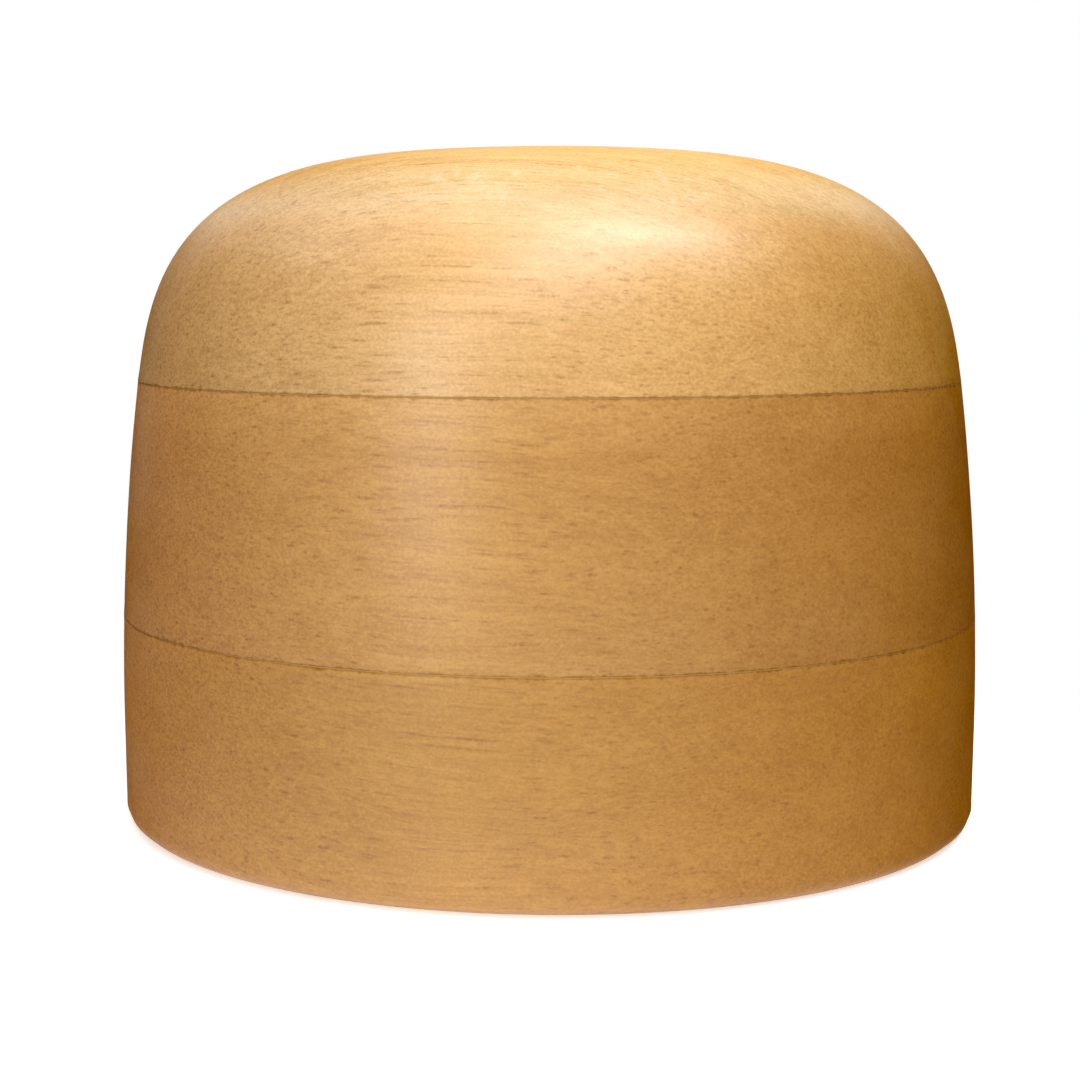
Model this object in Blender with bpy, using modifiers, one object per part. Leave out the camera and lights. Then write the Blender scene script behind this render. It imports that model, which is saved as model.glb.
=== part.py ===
"""Hat block: a solid crown block, the form that damp felt or straw is pulled over to shape a hat's crown.

Three thick boards are glued in a stack, with their grain running from front to back. The stack is then
carved to one form: a head size oval at the foot, a wall that leans in as it rises, and a full domed crown.
A blind socket up the middle of the foot takes the spigot of a block stand.

The origin is the centre of the foot, +X points to the front of the head and +Z up.
Lengths here are in millimetres, and MM turns them into metres.
"""
import math

import bmesh
import bpy
from mathutils import Matrix

MM = 0.001

# Head size oval at the foot: 57 cm round
BLOCK_LENGTH = 198.0
BLOCK_WIDTH = 164.3

# Side profile
BLOCK_HEIGHT = 152.0
FOOT_RADIUS = 4.5
STRAIGHT_HEIGHT = 20.0
WALL_LEAN = 14.4
CROWN_START = 94.0
CROWN_FULLNESS = 3.5

# Boards, each measured to the middle of its glue line; the crown board is what the height leaves
BASE_BOARD = 48.0
MIDDLE_BOARD = 52.8
GLUE_THICKNESS = 0.2
SEAM_GAP = 0.3
ROUGH_ALLOWANCE = 4.0

# Socket for the stand's spigot
SPIGOT_DIAMETER = 25.4
SPIGOT_CLEARANCE = 0.3
SOCKET_DEPTH = 65.0
SOCKET_CHAMFER = 1.5

# Facets
ROUND_STEPS = 96
WALL_STEPS = 8
CROWN_STEPS = 20
FOOT_SEGMENTS = 5
SOCKET_STEPS = 48
MERGE_DISTANCE = 0.01 * MM
SHARP_ANGLE = math.radians(30)


def clear_scene():
    for obj in list(bpy.data.objects):
        bpy.data.objects.remove(obj, do_unlink=True)


def new_collection(name):
    collection = bpy.data.collections.new(name)
    bpy.context.scene.collection.children.link(collection)
    return collection


def new_material(name, color, roughness):
    material = bpy.data.materials.new(name)
    material.use_nodes = True
    shader = material.node_tree.nodes["Principled BSDF"]
    shader.inputs["Base Color"].default_value = (*color, 1.0)
    shader.inputs["Roughness"].default_value = roughness
    shader.inputs["Metallic"].default_value = 0.0
    material.diffuse_color = (*color, 1.0)
    return material


def new_object(name, mesh, collection):
    obj = bpy.data.objects.new(name, mesh)
    collection.objects.link(obj)
    return obj


def hide_guide(obj):
    obj.hide_render = True
    obj.display_type = "WIRE"


def evaluated_mesh(obj):
    """The object's mesh after its modifiers."""
    depsgraph = bpy.context.evaluated_depsgraph_get()
    return bpy.data.meshes.new_from_object(obj.evaluated_get(depsgraph), depsgraph=depsgraph)


def wall_half_length(z):
    """Half the length of the wall at a height, before the crown rounds over: square up, then leaning in."""
    rise = max(0.0, z - STRAIGHT_HEIGHT) / (BLOCK_HEIGHT - STRAIGHT_HEIGHT)
    return BLOCK_LENGTH / 2 - WALL_LEAN * rise ** 2


def side_profile():
    """Points (half length, height) from the top of the crown down the outside to the middle of the foot."""
    points = []
    for step in range(CROWN_STEPS):
        angle = math.pi / 2 * step / CROWN_STEPS
        share_in = math.sin(angle) ** (2 / CROWN_FULLNESS)
        share_up = math.cos(angle) ** (2 / CROWN_FULLNESS)
        z = CROWN_START + (BLOCK_HEIGHT - CROWN_START) * share_up
        points.append((wall_half_length(z) * share_in, z))
    for step in range(WALL_STEPS + 1):
        z = CROWN_START * (1 - step / WALL_STEPS)
        points.append((wall_half_length(z), z))
    points.append((0.0, 0.0))
    return points


def turned_mesh(name, points, steps, collection):
    """A closed solid of revolution about Z from a profile that runs down its outer side."""
    mesh = bpy.data.meshes.new(name + "_profile")
    vertices = [(radius * MM, 0.0, z * MM) for radius, z in points]
    edges = [(i, i + 1) for i in range(len(points) - 1)]
    mesh.from_pydata(vertices, edges, [])
    profile = new_object(name + "_profile", mesh, collection)
    screw = profile.modifiers.new("Turn", "SCREW")
    screw.axis = "Z"
    screw.steps = steps
    screw.render_steps = steps
    screw.use_merge_vertices = True
    screw.merge_threshold = MERGE_DISTANCE
    turned = evaluated_mesh(profile)
    bpy.data.objects.remove(profile, do_unlink=True)
    return turned


def crown_form(collection):
    """The carved shape of the whole block: turned round, drawn in to an oval, then rounded at the foot."""
    mesh = turned_mesh("crown_form", side_profile(), ROUND_STEPS, collection)
    mesh.transform(Matrix.Scale(BLOCK_WIDTH / BLOCK_LENGTH, 4, (0, 1, 0)))
    form = new_object("crown_form", mesh, collection)
    foot = form.modifiers.new("Foot radius", "BEVEL")
    foot.width = FOOT_RADIUS * MM
    foot.segments = FOOT_SEGMENTS
    foot.limit_method = "ANGLE"
    foot.angle_limit = math.radians(60)
    hide_guide(form)
    return form


def socket_cutter(collection):
    """The stand socket's blind bore, with the chamfer at its mouth."""
    radius = SPIGOT_DIAMETER / 2 + SPIGOT_CLEARANCE
    mouth = radius + SOCKET_CHAMFER
    points = [
        (0.0, SOCKET_DEPTH),
        (radius, SOCKET_DEPTH),
        (radius, SOCKET_CHAMFER),
        (mouth, 0.0),
        (mouth, -ROUGH_ALLOWANCE),
        (0.0, -ROUGH_ALLOWANCE),
    ]
    mesh = turned_mesh("socket_cutter", points, SOCKET_STEPS, collection)
    cutter = new_object("socket_cutter", mesh, collection)
    hide_guide(cutter)
    return cutter


def rough_board(name, bottom, top, collection):
    """A board as it comes from the planer, larger all round than the form that is carved from it."""
    size = (
        BLOCK_LENGTH + 2 * ROUGH_ALLOWANCE,
        BLOCK_WIDTH + 2 * ROUGH_ALLOWANCE,
        top - bottom,
    )
    scale = Matrix.Diagonal((*(length * MM for length in size), 1.0))
    place = Matrix.Translation((0, 0, (bottom + top) / 2 * MM))
    bm = bmesh.new()
    bmesh.ops.create_cube(bm, size=1.0, matrix=place @ scale)
    mesh = bpy.data.meshes.new(name)
    bm.to_mesh(mesh)
    bm.free()
    return new_object(name, mesh, collection)


def cut(obj, tool, operation):
    boolean = obj.modifiers.new(operation.title(), "BOOLEAN")
    boolean.operation = operation
    boolean.solver = "EXACT"
    boolean.object = tool


def carve(board, form, socket, material, parent):
    """Carve a rough board to the crown form and bore it, and give it its finish."""
    cut(board, form, "INTERSECT")
    cut(board, socket, "DIFFERENCE")
    rough = board.data
    board.data = evaluated_mesh(board)
    board.modifiers.clear()
    bpy.data.meshes.remove(rough)
    board.data.name = board.name
    board.data.shade_smooth()
    board.data.set_sharp_from_angle(angle=SHARP_ANGLE)
    board.data.materials.clear()
    board.data.materials.append(material)
    board.parent = parent


def build():
    clear_scene()
    block = new_collection("hat_block")
    tools = new_collection("cutters")
    stand_point = new_object("foot_centre", None, block)
    form = crown_form(tools)
    socket = socket_cutter(tools)

    lower_seam = BASE_BOARD
    upper_seam = BASE_BOARD + MIDDLE_BOARD
    half_glue = GLUE_THICKNESS / 2
    half_seam = half_glue + SEAM_GAP
    below = -ROUGH_ALLOWANCE
    above = BLOCK_HEIGHT + ROUGH_ALLOWANCE

    crown_wood = new_material("crown_wood", (0.66, 0.38, 0.15), 0.38)
    middle_wood = new_material("middle_wood", (0.58, 0.31, 0.11), 0.38)
    base_wood = new_material("base_wood", (0.60, 0.32, 0.11), 0.38)
    glue = new_material("glue", (0.16, 0.07, 0.02), 0.5)

    pieces = [
        ("crown_board", upper_seam + half_seam, above, crown_wood),
        ("upper_glue_line", upper_seam - half_glue, upper_seam + half_glue, glue),
        ("middle_board", lower_seam + half_seam, upper_seam - half_seam, middle_wood),
        ("lower_glue_line", lower_seam - half_glue, lower_seam + half_glue, glue),
        ("base_board", below, lower_seam - half_seam, base_wood),
    ]
    for name, bottom, top, material in pieces:
        board = rough_board(name, bottom, top, block)
        carve(board, form, socket, material, stand_point)


build()
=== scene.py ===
"""Looks of the hat block: three carved and varnished boards, the glue between them, and a plain studio.

Lengths are in metres, in the frame of the CAD model: +X to the front of the head and +Z up.
"""

import math

import bpy
import numpy as np
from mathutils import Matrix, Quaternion, Vector, noise


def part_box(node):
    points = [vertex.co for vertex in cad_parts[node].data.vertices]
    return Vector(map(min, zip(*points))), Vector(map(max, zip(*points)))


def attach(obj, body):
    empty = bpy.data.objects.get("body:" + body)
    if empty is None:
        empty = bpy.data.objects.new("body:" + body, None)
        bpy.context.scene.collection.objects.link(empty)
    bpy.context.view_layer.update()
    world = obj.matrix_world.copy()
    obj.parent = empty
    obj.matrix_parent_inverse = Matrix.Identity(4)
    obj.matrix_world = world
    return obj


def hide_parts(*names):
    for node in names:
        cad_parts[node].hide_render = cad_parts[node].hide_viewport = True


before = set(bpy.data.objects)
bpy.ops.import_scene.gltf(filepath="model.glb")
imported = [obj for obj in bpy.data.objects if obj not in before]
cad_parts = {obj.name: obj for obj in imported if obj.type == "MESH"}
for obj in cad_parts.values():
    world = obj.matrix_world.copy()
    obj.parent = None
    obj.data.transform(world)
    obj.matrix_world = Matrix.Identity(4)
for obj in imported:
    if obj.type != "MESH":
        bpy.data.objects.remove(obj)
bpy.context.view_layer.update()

MM = 0.001

# The carved form, whose proportions are those of the CAD model
FOOT_RADIUS = 4.5 * MM
STRAIGHT_HEIGHT = 20.0 * MM
WALL_LEAN = 14.4 * MM
CROWN_START = 94.0 * MM
CROWN_FULLNESS = 3.5
SOCKET_RADIUS = 13.0 * MM
SOCKET_DEPTH = 65.0 * MM
SOCKET_CHAMFER = 1.5 * MM
HALF_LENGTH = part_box("base_board")[1].x
HALF_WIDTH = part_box("base_board")[1].y
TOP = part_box("crown_board")[1].z


def middle_height(node_name):
    low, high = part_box(node_name)
    return (low.z + high.z) / 2


LOWER_SEAM = middle_height("lower_glue_line")
UPPER_SEAM = middle_height("upper_glue_line")
HALF_FILM = 0.1 * MM
FILM_RECESS = 0.03 * MM
FILM_CLEARANCE = 0.01 * MM

# Facets of the fine surface, and how far hand sanding left it from true
AROUND = 720
RING_SPACING = 2.2 * MM
FINE_STEPS = 1500
EDGE_STEPS = 4
SHARP_ANGLE = math.radians(32)
UNEVEN_DEPTH = 0.12 * MM
UNEVEN_SIZE = 24.0 * MM

# Worn board edges: least and most radius, and the share of the way round that is nicked
UPPER_WEAR = {"least": 0.05 * MM, "most": 0.5 * MM, "nicked": 0.05}
LOWER_WEAR = {"least": 0.04 * MM, "most": 0.35 * MM, "nicked": 0.04}

# Noise that shapes the wear and the nicks
WEAR_WAVES = 14
NICK_WAVES = 55
WEAR_SEED_STEP = 7.3
NICK_SEED_STEP = 3.1
WEAR_SHARE = 0.25
NICK_SHARE = 3.0

# The span that a noise texture mostly stays in
NOISE_SPAN = (0.3, 0.7)

# Grain: its turn from the block's length, its wander, and how fast it turns to end grain
GRAIN_TURN = math.radians(-7.0)
GRAIN_RISE = math.radians(-1.0)
GRAIN_WANDER = 2.5 * MM
WANDER_SIZE = (60 * MM, 26 * MM)
END_GRAIN_POWER = 0.97

# Soft blotches where the grain ends
BLOTCH_SIZE = (30 * MM, 16 * MM)
BLOTCH_DEPTH = 0.045
BLOTCH_FADE = (0.0, 0.5)

# Figure of the wood: the size of each kind of mark, along the grain and across it
CLOUDS = (60 * MM, 18 * MM)
BANDS = (80 * MM, 3.6 * MM)
FIBRES = (42 * MM, 1.1 * MM)
SPECKLE = (2.2 * MM, 0.6 * MM)
DOTS = (0.9 * MM, 0.9 * MM)
GRIT = (0.6 * MM, 0.5 * MM)

# How much each kind of mark counts
CLOUDS_SHARE = 0.7
BANDS_SHARE = 1.0
FIBRES_SHARE = 1.2
SPECKLE_SHARE = 0.9
END_SPECKLE_SHARE = 1.6
GRIT_SHARE = 1.0
END_GRIT_SHARE = 0.8

# Stipple, stronger at the back of the head than at the front
COARSE_REACH = (-75 * MM, 60 * MM)
COARSE_SCALE = (1.35, 0.75)

# Deep and pale streaks, and the span of the figure over which one turns into the other
FIGURE_SPAN = (-0.9, 0.9)
DEEP_TINT = (0.84, 0.77, 0.62)
PALE_TINT = (1.12, 1.16, 1.24)

# Pores: how far apart, their radius, and the length for which one stays open
LARGE_PORES = {"spacing": 1.8 * MM, "radius": 0.48 * MM, "length": 7 * MM}
SMALL_PORES = {"spacing": 0.95 * MM, "radius": 0.31 * MM, "length": 3.5 * MM}

# Depth of small pores, share of the radius at full depth, noise at which pores open, and least depth
SMALL_PORE_DEPTH = 0.8
PORE_CORE = 0.25
PORE_OPENING = (0.38, 0.52)
LEAST_PORE_DEPTH = 0.2

# Dots that pores break into, and how pores fade towards the front of the head
DOT_SPAN = (0.35, 0.65)
DOT_LEAST = 0.35
PORE_FADE_REACH = (-10 * MM, 80 * MM)
PORE_FADE = 0.55

# Colour and relief of pores
SIDE_PORE_TINT = (0.69, 0.56, 0.37, 1)
END_PORE_TINT = (0.54, 0.42, 0.22, 1)
PORE_RELIEF = 0.02 * MM

# Each board: colour on side grain and on end grain (the end grain made darker than the wood alone, as
# painted shade on the block's ends), tone towards the front of the head (lighter on the crown, as painted
# light from the key lamp's glow), and place in the log
CROWN_TIMBER = {
    "side_color": (0.776, 0.458, 0.173, 1),
    "end_grain_and_shade_color": (0.262, 0.112, 0.002, 1),
    "front_tone": 1.18,
    "log_place": (0.013, 0.002, 0.005),
}
MIDDLE_TIMBER = {
    "side_color": (0.63, 0.325, 0.080, 1),
    "end_grain_and_shade_color": (0.285, 0.101, 0.001, 1),
    "front_tone": 0.96,
    "log_place": (0.21, 0.04, 0.031),
}
BASE_TIMBER = {
    "side_color": (0.574, 0.288, 0.053, 1),
    "end_grain_and_shade_color": (0.318, 0.117, 0.001, 1),
    "front_tone": 0.99,
    "log_place": (0.47, 0.083, 0.062),
}

# Where along the block the tone changes, painted shade at its front end and painted light at its back end,
# and a painted sheen band under the upper seam
FRONT_TONE_REACH = (-30 * MM, 45 * MM)
NOSE_SHADE_REACH = (76 * MM, 98 * MM)
NOSE_SHADE_TINT = (0.77, 0.73, 0.42)
TAIL_LIGHT_REACH = (-40 * MM, -90 * MM)
TAIL_LIGHT_TINT = (1.08, 1.01, 0.84)
SHEEN_BAND_REACH = (-12 * MM, -2 * MM)
SHEEN_BAND_TINT = (1.11, 1.16, 1.36)

# Glue soaked into the wood at a seam; the stain and the reach are for side grain, then for end grain
SOAK_TINT = (0.50, 0.38, 0.20)
SOAK_STAIN = (0.5, 0.95)
SOAK_CORE = 0.6 * MM
SOAK_REACH = (1.2 * MM, 0.95 * MM)
SOAK_RAGGED = 1.2 * MM
SOAK_LUMPS = (1.5 * MM, 1.5 * MM)

# The glue itself, in two shades each for side grain and for end grain
GLUE_LUMPS = (2.4 * MM, 2.4 * MM)
GLUE_ON_SIDE = ((0.50, 0.27, 0.08, 1), (0.72, 0.44, 0.18, 1))
GLUE_ON_END = ((0.16, 0.06, 0.004, 1), (0.26, 0.11, 0.008, 1))
GLUE_ROUGHNESS = 0.55
GLUE_RELIEF = 0.03 * MM

# Bare wood: its roughness, how much pores and end grain add to it, and how far fibres rise beside pores
ROUGHNESS = (0.40, 0.46)
PORE_ROUGHNESS = 0.15
END_ROUGHNESS = 0.15
FIBRE_RELIEF = 0.3

# Varnish, worn off the top by how far the surface faces up
COAT_ROUGHNESS = 0.3
COAT_IOR = 1.64
SEAM_COAT_LOSS = 0.9
WORN_SLOPE = (0.70, 0.94)

# Painted sheen: the wood made paler and bluer, most of all on the shoulder, where the lamps' highlight falls
SHEEN_SLOPE = (0.60, 0.78)
SHEEN_TOP_SLOPE = (0.88, 0.98)
SHEEN_TOP_SHARE = 0.25
SHEEN_BACK_REACH = (-60 * MM, 0.0)
SHEEN_BACK_SHARE = 0.4
SHEEN_TINT = (1.0, 1.13, 1.39)

# Flecks of varnish left on the near shoulder, painted paler and bluer as highlight glints
FLECK_SIZE = (2.4 * MM, 3.2 * MM)
FLECK_SPAN = (0.42, 0.66)
FLECK_CLUSTERS = (11 * MM, 9 * MM)
FLECK_CLUSTER_SPAN = (0.32, 0.58)
FLECK_COAT = 0.8
FLECK_GLINT_TINT = (1.0, 1.13, 1.36)
FLECK_LOWER_EDGE = (0.77, 0.83)
FLECK_UPPER_EDGE = (0.98, 0.93)
FLECK_EDGE_LUMPS = (2 * MM, 20 * MM)
FLECK_EDGE_RAGGED = 0.16
FLECK_BACK_END = (-44 * MM, -26 * MM)
FLECK_FRONT_END = (50 * MM, 28 * MM)
FLECK_NEAR_SIDE = (0.0, -0.25)

# Camera, as the photograph was taken: its place round the block, and how far it turns from the block's axis
CAMERA_DISTANCE = 412.5 * MM
CAMERA_HEIGHT = 121.0 * MM
CAMERA_AZIMUTH = math.radians(3.32)
CAMERA_PITCH = math.radians(8.0)
CAMERA_PAN = math.radians(0.24)
CAMERA_LENS = 59.28
CAMERA_SENSOR = 36.0
CAMERA_NEAREST = 10 * MM

# Studio: the paper floor shows the block's shadow, glows close by as painted light on its foot, and is white
# further out
FLOOR_SIZE = 8.0
FLOOR_DROP = 0.05 * MM
PAPER_COLOR = (0.88, 0.88, 0.88, 1)
PAPER_LIFT = 0.6
PAPER_GLOW = 0.28
GLOW_REACH = (100 * MM, 140 * MM)
SHADOW_REACH = (100 * MM, 190 * MM)
WORLD_LIGHT = 0.02


# Form

def outline(low, high):
    """Rows (half length, half width, height) up the outside from low to high, evenly spaced on the curve."""
    climb = np.linspace(0, math.pi / 2, FINE_STEPS)
    heights = np.unique(np.concatenate([
        FOOT_RADIUS * (1 - np.cos(climb)),
        np.linspace(FOOT_RADIUS, CROWN_START, FINE_STEPS),
        CROWN_START + (TOP - CROWN_START) * np.sin(climb) ** (2 / CROWN_FULLNESS),
    ]))
    heights = heights[(heights > low) & (heights < high)]
    heights = np.concatenate([[low], heights, [high]])
    rise = np.clip(heights - STRAIGHT_HEIGHT, 0, None) / (TOP - STRAIGHT_HEIGHT)
    over = np.clip((heights - CROWN_START) / (TOP - CROWN_START), 0, 1)
    drawn_in = (1 - over ** CROWN_FULLNESS) ** (1 / CROWN_FULLNESS)
    wall = (HALF_LENGTH - WALL_LEAN * rise ** 2) * drawn_in
    below = np.clip(FOOT_RADIUS - heights, 0, None)
    foot = FOOT_RADIUS - np.sqrt(FOOT_RADIUS ** 2 - below ** 2)
    rows = np.stack([wall - foot, wall * HALF_WIDTH / HALF_LENGTH - foot, heights], axis=1)
    rows = np.clip(rows, 0, None)
    travel = np.hypot(np.diff(rows[:, 0]), np.diff(rows[:, 2]))
    travel = np.concatenate([[0], np.cumsum(travel)])
    count = max(2, round(travel[-1] / RING_SPACING) + 1)
    even = np.linspace(0, travel[-1], count)
    return np.stack([np.interp(even, travel, rows[:, k]) for k in range(3)], axis=1)


TURN = np.linspace(0, 2 * math.pi, AROUND, endpoint=False)
COS, SIN = np.cos(TURN), np.sin(TURN)


def oval(half_length, half_width, height):
    """A ring of points; each size may be one number or one for each point."""
    ring = np.empty((AROUND, 3))
    ring[:, 0] = half_length * COS
    ring[:, 1] = half_width * SIN
    ring[:, 2] = height
    return ring


def socket_ring(height, radius=SOCKET_RADIUS):
    return oval(radius, radius, height)


def seam_edge(row, upward, radius):
    """Rings that round a board's edge at a seam, from the wall to the flat face at the row's height.

    upward is +1 at the board's upper edge and -1 at its lower edge.
    """
    rings = []
    for step in range(EDGE_STEPS + 1):
        angle = math.pi / 2 * step / EDGE_STEPS
        inset = radius * (1 - math.cos(angle))
        height = row[2] - upward * radius * (1 - math.sin(angle))
        rings.append(oval(row[0] - inset, row[1] - inset, height))
    return rings


def noise_round(waves, seed):
    """Smooth noise at each point of a ring, with no break where it closes."""
    return np.array([noise.noise(Vector((c, s, seed)) * waves) for c, s in zip(COS, SIN)])


def worn_radius(seed, least, most, nicked):
    """The radius of a worn edge at each point round the block: fine, with a few short nicks."""
    wear = noise_round(WEAR_WAVES, seed * WEAR_SEED_STEP)
    nicks = noise_round(NICK_WAVES, seed * NICK_SEED_STEP)
    wear = (wear - wear.min()) / (wear.max() - wear.min())
    nicks = np.clip((nicks - np.quantile(nicks, 1 - nicked)) / (nicks.max() - nicks.min()), 0, 1)
    return least + (most - least) * np.clip(WEAR_SHARE * wear + NICK_SHARE * nicks, 0, 1)


def loft(rings, closed):
    """Points and faces of a solid through the rings; where it isn't closed, each end gets a middle point."""
    points = np.concatenate(rings)
    faces = []
    for row in range(len(rings) if closed else len(rings) - 1):
        here, above = row * AROUND, (row + 1) % len(rings) * AROUND
        for i in range(AROUND):
            j = (i + 1) % AROUND
            faces.append((here + i, here + j, above + j, above + i))
    if not closed:
        first, last = len(points), len(points) + 1
        points = np.concatenate([points, [rings[0].mean(0)], [rings[-1].mean(0)]])
        end = (len(rings) - 1) * AROUND
        for i in range(AROUND):
            j = (i + 1) % AROUND
            faces.append((first, j, i))
            faces.append((last, end + i, end + j))
    return points, faces


def sand(mesh, first_ring, last_ring):
    """Lower the carved rings by up to the uneven depth in soft patches, as hand sanding does."""
    carved = range(first_ring * AROUND, (last_ring + 1) * AROUND)
    moved = []
    for index in carved:
        vertex = mesh.vertices[index]
        depth = UNEVEN_DEPTH * (0.5 + 0.5 * noise.noise(vertex.co / UNEVEN_SIZE))
        moved.append((vertex, vertex.co - vertex.normal * depth))
    for vertex, place in moved:
        vertex.co = place


def make_piece(name, rings, closed, material, node_name, carved=None):
    """Add a piece that rides the block and replaces a CAD node; carved is its first and last sanded ring."""
    points, faces = loft(rings, closed)
    mesh = bpy.data.meshes.new(name)
    mesh.from_pydata(points.tolist(), [], faces)
    mesh.update()
    if carved:
        sand(mesh, *carved)
        mesh.update()
    mesh.shade_smooth()
    mesh.set_sharp_from_angle(angle=SHARP_ANGLE)
    mesh.materials.append(material)
    piece = bpy.data.objects.new(name, mesh)
    bpy.context.scene.collection.objects.link(piece)
    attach(piece, "root")
    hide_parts(node_name)


# Shader nodes

def node(tree, kind, inputs=None, **settings):
    """A shader node with its settings and inputs; an input that is a socket is linked to it."""
    made = tree.nodes.new(kind)
    for key, value in settings.items():
        setattr(made, key, value)
    for key, value in (inputs or {}).items():
        if isinstance(value, bpy.types.NodeSocket):
            tree.links.new(value, made.inputs[key])
        else:
            made.inputs[key].default_value = value
    return made


def empty_tree(owner):
    """The node tree of a material or a world, with nothing in it."""
    owner.use_nodes = True
    owner.node_tree.nodes.clear()
    return owner.node_tree


def calculate(tree, operation, *values):
    return node(tree, "ShaderNodeMath", dict(enumerate(values)), operation=operation).outputs[0]


def product(tree, first, *others):
    for other in others:
        first = calculate(tree, "MULTIPLY", first, other)
    return first


def largest(tree, first, *others):
    for other in others:
        first = calculate(tree, "MAXIMUM", first, other)
    return first


def weighted_sum(tree, *terms, start=0.0):
    total = start
    for value, weight in terms:
        total = calculate(tree, "MULTIPLY_ADD", value, weight, total)
    return total


def remap(tree, value, low, high, to_low=0.0, to_high=1.0):
    ranges = {"Value": value, "From Min": low, "From Max": high, "To Min": to_low, "To Max": to_high}
    return node(tree, "ShaderNodeMapRange", ranges, interpolation_type="SMOOTHSTEP").outputs["Result"]


def vector_math(tree, operation, first, second):
    return node(tree, "ShaderNodeVectorMath", {0: first, 1: second}, operation=operation).outputs[0]


def blend_colors(tree, share, first, second):
    return node(tree, "ShaderNodeMix", {0: share, 6: first, 7: second}, data_type="RGBA").outputs[2]


def shade_color(tree, color, factor):
    return node(tree, "ShaderNodeVectorMath", {0: color, 3: factor}, operation="SCALE").outputs[0]


def tint_color(tree, color, tint):
    return vector_math(tree, "MULTIPLY", color, tint)


def stretch(tree, place, size):
    """Coordinates in which one unit is this long along the grain, and this wide across it."""
    length, across = size
    scale = (1 / length, 1 / across, 1 / across)
    return node(tree, "ShaderNodeMapping", {"Vector": place, "Scale": scale}).outputs[0]


def noise_texture(tree, place, size, detail):
    inputs = {"Vector": stretch(tree, place, size), "Scale": 1.0, "Detail": detail}
    return node(tree, "ShaderNodeTexNoise", inputs)


def lumps(tree, place, size, detail=2.0):
    """Noise from 0 to 1 in lumps of this size along the grain and across it."""
    return noise_texture(tree, place, size, detail).outputs[0]


def object_place(tree):
    return node(tree, "ShaderNodeTexCoord").outputs["Object"]


def surface_normal(tree):
    return node(tree, "ShaderNodeTexCoord").outputs["Normal"]


# Wood

def pores(tree, place, spacing, radius, length):
    """Where pores are open, as 0 to 1: tubes along the grain, each open for about this length at a time."""
    axes = node(tree, "ShaderNodeSeparateXYZ", {0: place})
    section = node(tree, "ShaderNodeCombineXYZ", {0: axes.outputs[1], 1: axes.outputs[2]}).outputs[0]
    cells = {"Vector": section, "Scale": 1 / spacing}
    tubes = node(tree, "ShaderNodeTexVoronoi", cells, voronoi_dimensions="2D", feature="F1")
    lot = node(tree, "ShaderNodeSeparateColor", {0: tubes.outputs["Color"]}).outputs[0]
    core = remap(tree, tubes.outputs["Distance"], radius / spacing, PORE_CORE * radius / spacing)
    is_open = remap(tree, lumps(tree, place, (length, spacing), 1.0), *PORE_OPENING)
    depth = weighted_sum(tree, (lot, 1 - LEAST_PORE_DEPTH), start=LEAST_PORE_DEPTH)
    return product(tree, core, is_open, depth)


def grain_place(tree, log_place):
    """Object coordinates moved into the log and turned to the grain, which wanders a little."""
    turn = (0.0, GRAIN_RISE, -GRAIN_TURN)
    inputs = {"Vector": object_place(tree), "Location": log_place, "Rotation": turn}
    turned = node(tree, "ShaderNodeMapping", inputs).outputs[0]
    drift = noise_texture(tree, turned, WANDER_SIZE, 1.0).outputs["Color"]
    centred = vector_math(tree, "SUBTRACT", drift, (0.5, 0.5, 0.5))
    wander = vector_math(tree, "MULTIPLY", centred, (0.0, 2 * GRAIN_WANDER, 2 * GRAIN_WANDER))
    return vector_math(tree, "ADD", turned, wander)


def end_grain(tree, place):
    """How squarely the surface cuts the grain, from 0 along it to 1 across it, with soft blotches."""
    along = (math.cos(GRAIN_TURN), math.sin(GRAIN_TURN), 0.0)
    facing = node(tree, "ShaderNodeVectorMath", {0: surface_normal(tree), 1: along}, operation="DOT_PRODUCT")
    square = calculate(tree, "ABSOLUTE", facing.outputs["Value"])
    square = calculate(tree, "POWER", square, END_GRAIN_POWER)
    blotch = remap(tree, lumps(tree, place, BLOTCH_SIZE), *NOISE_SPAN, -BLOTCH_DEPTH, 0.0)
    return calculate(tree, "ADD", square, product(tree, blotch, remap(tree, square, *BLOTCH_FADE)))


def timber_color(tree, timber, across, along):
    """The board's colour by how the grain is cut, with painted shade on the end grain, lighter or darker
    towards the front of the head, and painted shade at its front end and painted light at its back end.
    """
    # End grain colour: darker wood, deepened further as painted shade on the block's ends
    color = blend_colors(tree, across, timber["side_color"], timber["end_grain_and_shade_color"])
    # Tone towards the front of the head; on the crown it is lighter, as painted light from the key lamp's
    # glow
    color = shade_color(tree, color, remap(tree, along, *FRONT_TONE_REACH, 1.0, timber["front_tone"]))
    # Painted shade at the front end, painted light at the back end
    for reach, tint in ((NOSE_SHADE_REACH, NOSE_SHADE_TINT), (TAIL_LIGHT_REACH, TAIL_LIGHT_TINT)):
        color = blend_colors(tree, remap(tree, along, *reach), color, tint_color(tree, color, tint))
    return color


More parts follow.
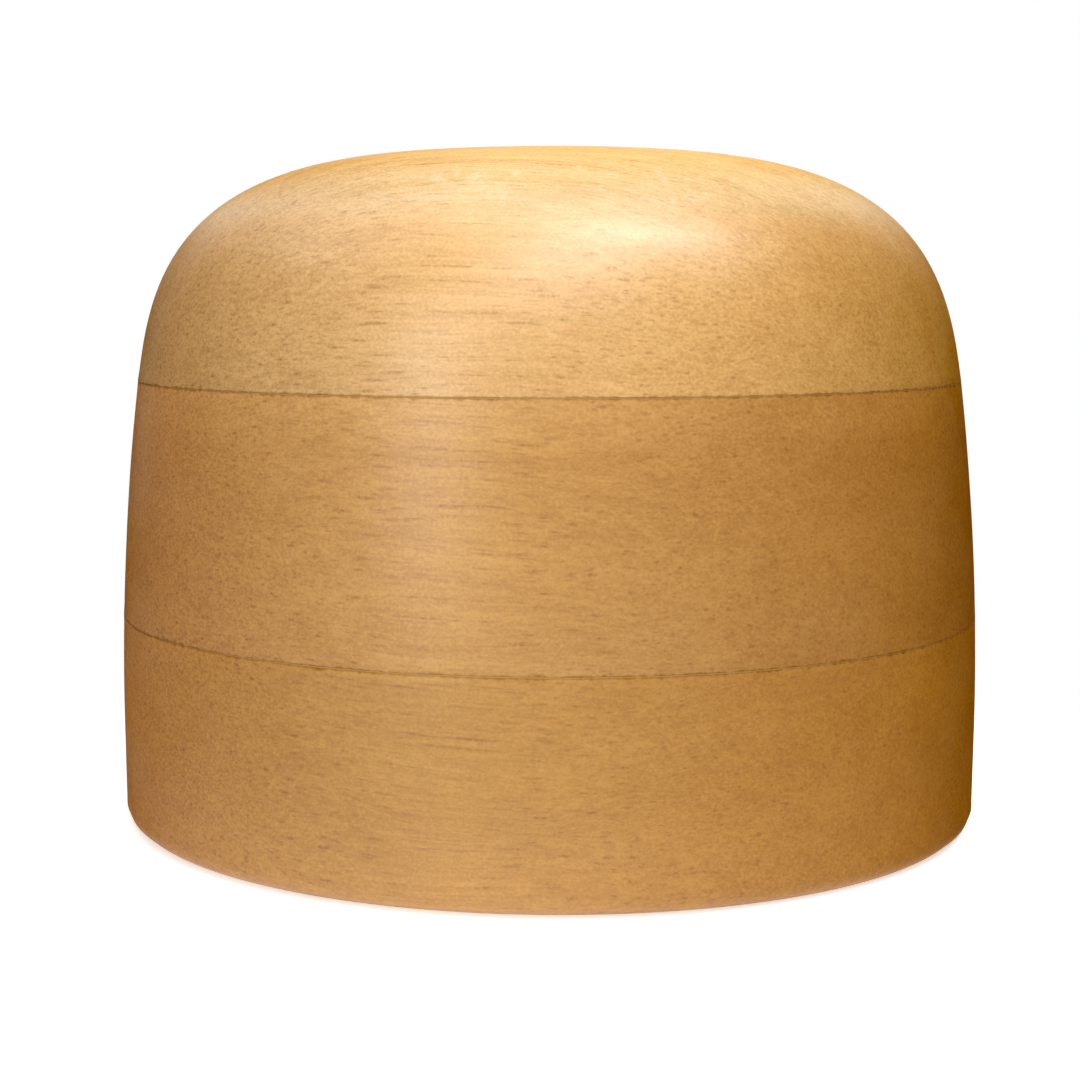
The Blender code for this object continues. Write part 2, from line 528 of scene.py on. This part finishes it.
def figured(tree, color, place, across, along, clouds, fibres):
    """The colour in paler and deeper streaks, with a fine stipple that is coarser where the grain ends."""
    bands = lumps(tree, place, BANDS)
    speckle = lumps(tree, place, SPECKLE)
    grit = lumps(tree, place, GRIT, 0.0)
    coarse = remap(tree, along, *COARSE_REACH, *COARSE_SCALE)
    fine_speckle = calculate(tree, "SUBTRACT", speckle, 0.5)
    fine_grit = calculate(tree, "SUBTRACT", grit, 0.5)
    stipple = weighted_sum(
        tree,
        (product(tree, fine_speckle, across, coarse), END_SPECKLE_SHARE),
        (product(tree, fine_grit, coarse), GRIT_SHARE),
        (product(tree, fine_grit, across), END_GRIT_SHARE),
    )
    marks = [
        (clouds, CLOUDS_SHARE),
        (bands, BANDS_SHARE),
        (fibres, FIBRES_SHARE),
        (speckle, SPECKLE_SHARE),
    ]
    middle = sum(share for _, share in marks) / 2
    figure = weighted_sum(tree, *marks, (stipple, 1.0), start=-middle)
    deep = tint_color(tree, color, DEEP_TINT)
    pale = tint_color(tree, color, PALE_TINT)
    return blend_colors(tree, remap(tree, figure, *FIGURE_SPAN), deep, pale)


def open_pores(tree, place, across, along):
    """Where pores show, as 0 to 1: broken into dots along the grain, and paler to the front of the head."""
    large = pores(tree, place, **LARGE_PORES)
    small = pores(tree, place, **SMALL_PORES)
    dots = lumps(tree, place, DOTS, 1.0)
    broken = largest(tree, remap(tree, dots, *DOT_SPAN, 1.0, DOT_LEAST), across)
    fading = remap(tree, along, *PORE_FADE_REACH, 1.0, PORE_FADE)
    return product(tree, largest(tree, large, product(tree, small, SMALL_PORE_DEPTH)), broken, fading)


def soaked_share(tree, height, across, seam):
    """How much glue has soaked into the wood near a seam, from 0 to 1, with a ragged limit."""
    away = calculate(tree, "ABSOLUTE", calculate(tree, "SUBTRACT", height, seam))
    ragged = weighted_sum(tree, (lumps(tree, object_place(tree), SOAK_LUMPS), SOAK_RAGGED), start=away)
    reach = remap(tree, across, 0.0, 1.0, *SOAK_REACH)
    return remap(tree, ragged, SOAK_CORE, reach, 1.0, 0.0)


def varnish_flecks_and_glints(tree, along, sideways, upward):
    """Flecks of varnish that are left on the near shoulder, where glints are also painted, from 0 to 1."""
    where = object_place(tree)
    patches = remap(tree, lumps(tree, where, FLECK_SIZE), *FLECK_SPAN)
    clusters = remap(tree, lumps(tree, where, FLECK_CLUSTERS), *FLECK_CLUSTER_SPAN)
    ragged = weighted_sum(tree, (lumps(tree, where, FLECK_EDGE_LUMPS), FLECK_EDGE_RAGGED), start=upward)
    edges = product(tree, remap(tree, ragged, *FLECK_LOWER_EDGE), remap(tree, ragged, *FLECK_UPPER_EDGE))
    ends = product(tree, remap(tree, along, *FLECK_BACK_END), remap(tree, along, *FLECK_FRONT_END))
    near_side = remap(tree, sideways, *FLECK_NEAR_SIDE)
    return product(tree, patches, clusters, edges, ends, near_side, FLECK_COAT)


def painted_sheen_share(tree, along, upward):
    """How much painted sheen the wood gets, from 0 to 1: most on the shoulder, less on the top and at the
    back.
    """
    top = remap(tree, upward, *SHEEN_TOP_SLOPE, 1.0, SHEEN_TOP_SHARE)
    back = remap(tree, along, *SHEEN_BACK_REACH, SHEEN_BACK_SHARE, 1.0)
    return product(tree, remap(tree, upward, *SHEEN_SLOPE), top, back)


def sheen_and_varnish(tree, color, along, across):
    """The colour with a painted sheen on the shoulder and painted glints where varnish is left, and how much
    varnish it has left, from 0 to 1.
    """
    facing = node(tree, "ShaderNodeSeparateXYZ", {0: surface_normal(tree)})
    sideways, upward = facing.outputs[1], facing.outputs[2]
    flecks_and_glints = varnish_flecks_and_glints(tree, along, sideways, upward)
    painted_sheen = painted_sheen_share(tree, along, upward)
    # Painted sheen: paler, bluer wood on the shoulder
    color = blend_colors(tree, painted_sheen, color, tint_color(tree, color, SHEEN_TINT))
    # Painted glints, paler and bluer, where varnish is left on the shoulder
    color = blend_colors(tree, flecks_and_glints, color, tint_color(tree, color, FLECK_GLINT_TINT))
    unworn = largest(tree, remap(tree, upward, *WORN_SLOPE, 1.0, 0.0), flecks_and_glints)
    return color, product(tree, remap(tree, across, 0.0, 1.0, 1.0, 0.0), unworn)


def wood(name, timber, seams, sheen_band=None):
    """Fine, even timber under a satin varnish: pores and fibres along its grain, darker where it ends,
    partly as painted shade, with painted sheen and glints in places.
    """
    material = bpy.data.materials.new(name)
    tree = empty_tree(material)
    place = grain_place(tree, timber["log_place"])
    axes = node(tree, "ShaderNodeSeparateXYZ", {0: object_place(tree)})
    along, height = axes.outputs[0], axes.outputs[2]
    across = end_grain(tree, place)
    clouds = lumps(tree, place, CLOUDS)
    fibres = lumps(tree, place, FIBRES)

    color = timber_color(tree, timber, across, along)
    # Painted sheen: a paler, bluer band just under the upper seam
    if sheen_band:
        paler = tint_color(tree, color, SHEEN_BAND_TINT)
        color = blend_colors(tree, remap(tree, height, *sheen_band), color, paler)
    color = figured(tree, color, place, across, along, clouds, fibres)
    pore = open_pores(tree, place, across, along)
    pore_tint = blend_colors(tree, across, SIDE_PORE_TINT, END_PORE_TINT)
    color = blend_colors(tree, pore, color, tint_color(tree, color, pore_tint))
    color, varnish = sheen_and_varnish(tree, color, along, across)
    for seam in seams:
        soaked = soaked_share(tree, height, across, seam)
        stain = product(tree, soaked, remap(tree, across, 0.0, 1.0, *SOAK_STAIN))
        color = blend_colors(tree, stain, color, tint_color(tree, color, SOAK_TINT))
        varnish = product(tree, varnish, weighted_sum(tree, (soaked, -SEAM_COAT_LOSS), start=1.0))

    relief = calculate(tree, "SUBTRACT", product(tree, fibres, FIBRE_RELIEF), pore)
    bump = node(tree, "ShaderNodeBump", {"Height": relief, "Strength": 1.0, "Distance": PORE_RELIEF})
    roughness = remap(tree, clouds, *NOISE_SPAN, *ROUGHNESS)
    roughness = weighted_sum(tree, (pore, PORE_ROUGHNESS), (across, END_ROUGHNESS), start=roughness)
    finish = {
        "Base Color": color,
        "Roughness": roughness,
        "Normal": bump.outputs[0],
        "Specular IOR Level": 0.0,
        "Coat Weight": varnish,
        "Coat Roughness": COAT_ROUGHNESS,
        "Coat IOR": COAT_IOR,
    }
    shader = node(tree, "ShaderNodeBsdfPrincipled", finish)
    node(tree, "ShaderNodeOutputMaterial", {"Surface": shader.outputs[0]})
    return material


def glue_material():
    """Dried wood glue: pale where it is thin between side grain, dark where it soaked into end grain."""
    material = bpy.data.materials.new("dried_glue")
    tree = empty_tree(material)
    where = object_place(tree)
    mottle = lumps(tree, where, GLUE_LUMPS, 3.0)
    light = blend_colors(tree, mottle, *GLUE_ON_SIDE)
    dark = blend_colors(tree, mottle, *GLUE_ON_END)
    color = blend_colors(tree, end_grain(tree, where), light, dark)
    bump = node(tree, "ShaderNodeBump", {"Height": mottle, "Strength": 1.0, "Distance": GLUE_RELIEF})
    finish = {
        "Base Color": color,
        "Roughness": GLUE_ROUGHNESS,
        "Normal": bump.outputs[0],
        "Specular IOR Level": 0.0,
    }
    shader = node(tree, "ShaderNodeBsdfPrincipled", finish)
    node(tree, "ShaderNodeOutputMaterial", {"Surface": shader.outputs[0]})
    return material


# Pieces

def crown_board():
    material = wood("crown_wood", CROWN_TIMBER, [UPPER_SEAM])
    rows = outline(UPPER_SEAM + HALF_FILM, TOP)
    edge = seam_edge(rows[0], -1, worn_radius(1, **UPPER_WEAR))
    wall = [oval(*row) for row in rows[1:-1]]
    rings = [socket_ring(rows[0][2])] + edge[::-1] + wall
    carved = (len(edge) + 1, len(rings) - 1)
    make_piece("crown_board_carved", rings, False, material, "crown_board", carved)


def middle_board():
    # Painted sheen band just under the upper seam
    sheen_band = [UPPER_SEAM + limit for limit in SHEEN_BAND_REACH]
    material = wood("middle_wood", MIDDLE_TIMBER, [LOWER_SEAM, UPPER_SEAM], sheen_band)
    rows = outline(LOWER_SEAM + HALF_FILM, UPPER_SEAM - HALF_FILM)
    low_edge = seam_edge(rows[0], -1, worn_radius(2, **LOWER_WEAR))
    high_edge = seam_edge(rows[-1], 1, worn_radius(3, **UPPER_WEAR))
    wall = [oval(*row) for row in rows[1:-1]]
    bore = [socket_ring(SOCKET_DEPTH), socket_ring(rows[0][2])]
    rings = bore + low_edge[::-1] + wall + high_edge + [socket_ring(rows[-1][2])]
    first = len(bore) + len(low_edge)
    carved = (first, first + len(wall) - 1)
    make_piece("middle_board_carved", rings, False, material, "middle_board", carved)


def base_board():
    material = wood("base_wood", BASE_TIMBER, [LOWER_SEAM])
    rows = outline(0.0, LOWER_SEAM - HALF_FILM)
    edge = seam_edge(rows[-1], 1, worn_radius(4, **LOWER_WEAR))
    wall = [oval(*row) for row in rows[:-1]]
    mouth = socket_ring(0.0, SOCKET_RADIUS + SOCKET_CHAMFER)
    bore = [socket_ring(rows[-1][2]), socket_ring(SOCKET_CHAMFER), mouth]
    carved = (int(np.argmax(rows[:, 2] > FOOT_RADIUS)), len(wall) - 1)
    make_piece("base_board_carved", wall + edge + bore, True, material, "base_board", carved)


def glue_line(name, node_name, seam, bored, material):
    """A film of glue, slightly back from the wood, with the socket through it where it is bored."""
    row = outline(seam - HALF_FILM, seam + HALF_FILM)[0]
    low, high = seam - HALF_FILM + FILM_CLEARANCE, seam + HALF_FILM - FILM_CLEARANCE
    outside = [oval(row[0] - FILM_RECESS, row[1] - FILM_RECESS, z) for z in (low, high)]
    if bored:
        rings = outside + [socket_ring(high), socket_ring(low)]
    else:
        rings = [socket_ring(low)] + outside + [socket_ring(high)]
    make_piece(name, rings, bored, material, node_name)


# Studio

def camera():
    data = bpy.data.cameras.new("camera")
    data.lens = CAMERA_LENS
    data.sensor_width = CAMERA_SENSOR
    data.clip_start = CAMERA_NEAREST
    obj = bpy.data.objects.new("camera", data)
    obj.location = (
        CAMERA_DISTANCE * math.sin(CAMERA_AZIMUTH),
        -CAMERA_DISTANCE * math.cos(CAMERA_AZIMUTH),
        CAMERA_HEIGHT,
    )
    obj.rotation_euler = (math.pi / 2 - CAMERA_PITCH, 0.0, CAMERA_AZIMUTH + CAMERA_PAN)
    bpy.context.scene.collection.objects.link(obj)
    bpy.context.scene.camera = obj


def soft_light(name, azimuth, elevation, distance, size, power, turn=0.0):
    """An area light that faces the middle of the block; azimuth 0 is the camera's side."""
    azimuth, elevation = math.radians(azimuth), math.radians(elevation)
    target = Vector((0, 0, TOP / 2))
    away = Vector((
        math.sin(azimuth) * math.cos(elevation),
        -math.cos(azimuth) * math.cos(elevation),
        math.sin(elevation),
    ))
    data = bpy.data.lights.new(name, "AREA")
    data.shape = "RECTANGLE"
    data.size, data.size_y = size
    data.energy = power
    obj = bpy.data.objects.new(name, data)
    obj.location = target + away * distance
    turned = away.to_track_quat("Z", "Y") @ Quaternion((0, 0, 1), math.radians(turn))
    obj.rotation_euler = turned.to_euler()
    bpy.context.scene.collection.objects.link(obj)


def lamps():
    """A key from the front right with a softer lamp over it and a bright core, and soft lamps all round."""
    soft_light("key_light", 45, 62, 1.0, (0.75, 0.65), 3.6, turn=-35)
    soft_light("over_light", 34, 71, 1.0, (0.8, 0.8), 3.2)
    soft_light("glint_light", 43, 63, 1.0, (0.38, 0.11), 1.6, turn=-35)
    soft_light("front_light", 5, 45, 1.1, (0.6, 0.6), 3.15)
    soft_light("left_light", -84, 58, 1.1, (0.8, 0.8), 2.15)
    soft_light("strip_light", -25, 5, 1.2, (0.34, 1.2), 2.95)
    soft_light("rim_light", -134, -2, 1.2, (0.2, 0.5), 0.4)
    soft_light("right_light", 108, 66, 1.1, (0.8, 0.8), 0.7)
    soft_light("back_light", 180, 35, 1.3, (1.0, 0.5), 2.2)
    soft_light("back_left_light", -140, 35, 1.3, (0.7, 0.7), 1.2)
    soft_light("back_right_light", 145, 35, 1.3, (0.7, 0.7), 1.2)


def seen_ray(tree):
    """1 for the rays that show the background: straight from the camera, by reflection or through glass."""
    light_path = node(tree, "ShaderNodeLightPath")
    kinds = [light_path.outputs[kind] for kind in ("Is Camera Ray", "Is Glossy Ray", "Is Transmission Ray")]
    return largest(tree, *kinds)


def floor():
    """A wide pale floor that keeps the block's shadow close by, glows near the block to light its foot, and
    is plain white further out.
    """
    half = FLOOR_SIZE / 2
    mesh = bpy.data.meshes.new("floor")
    corners = [(-half, -half, 0), (half, -half, 0), (half, half, 0), (-half, half, 0)]
    mesh.from_pydata(corners, [], [(0, 1, 2, 3)])
    obj = bpy.data.objects.new("floor", mesh)
    obj.location.z = -FLOOR_DROP
    bpy.context.scene.collection.objects.link(obj)
    material = bpy.data.materials.new("pale_floor")
    tree = empty_tree(material)
    seen = seen_ray(tree)
    radius = node(tree, "ShaderNodeVectorMath", {0: object_place(tree)}, operation="LENGTH")
    distance = radius.outputs["Value"]
    paper = node(tree, "ShaderNodeBsdfDiffuse", {"Color": PAPER_COLOR})
    # Painted light: the floor glows near the block for every ray, lighting the foot
    foot_glow = remap(tree, distance, *GLOW_REACH, PAPER_GLOW, 0.0)
    glow = largest(tree, product(tree, seen, PAPER_LIFT), foot_glow)
    lift = node(tree, "ShaderNodeEmission", {"Strength": glow})
    near = node(tree, "ShaderNodeAddShader", {0: paper.outputs[0], 1: lift.outputs[0]})
    white = node(tree, "ShaderNodeEmission", {"Strength": 1.0})
    far_share = product(tree, seen, remap(tree, distance, *SHADOW_REACH))
    both = node(tree, "ShaderNodeMixShader", {0: far_share, 1: near.outputs[0], 2: white.outputs[0]})
    node(tree, "ShaderNodeOutputMaterial", {"Surface": both.outputs[0]})
    mesh.materials.append(material)


def surroundings():
    """White where the background is seen, and a faint grey light for everything else."""
    world = bpy.data.worlds.new("studio")
    bpy.context.scene.world = world
    tree = empty_tree(world)
    strength = node(tree, "ShaderNodeMix", {0: seen_ray(tree), 2: WORLD_LIGHT, 3: 1.0}, data_type="FLOAT")
    background = node(tree, "ShaderNodeBackground", {"Color": (1, 1, 1, 1), "Strength": strength.outputs[0]})
    node(tree, "ShaderNodeOutputWorld", {"Surface": background.outputs[0]})


crown_board()
middle_board()
base_board()
glue = glue_material()
glue_line("upper_glue_film", "upper_glue_line", UPPER_SEAM, False, glue)
glue_line("lower_glue_film", "lower_glue_line", LOWER_SEAM, True, glue)

camera()
floor()
surroundings()
lamps()
bpy.context.scene.view_settings.view_transform = "Standard"
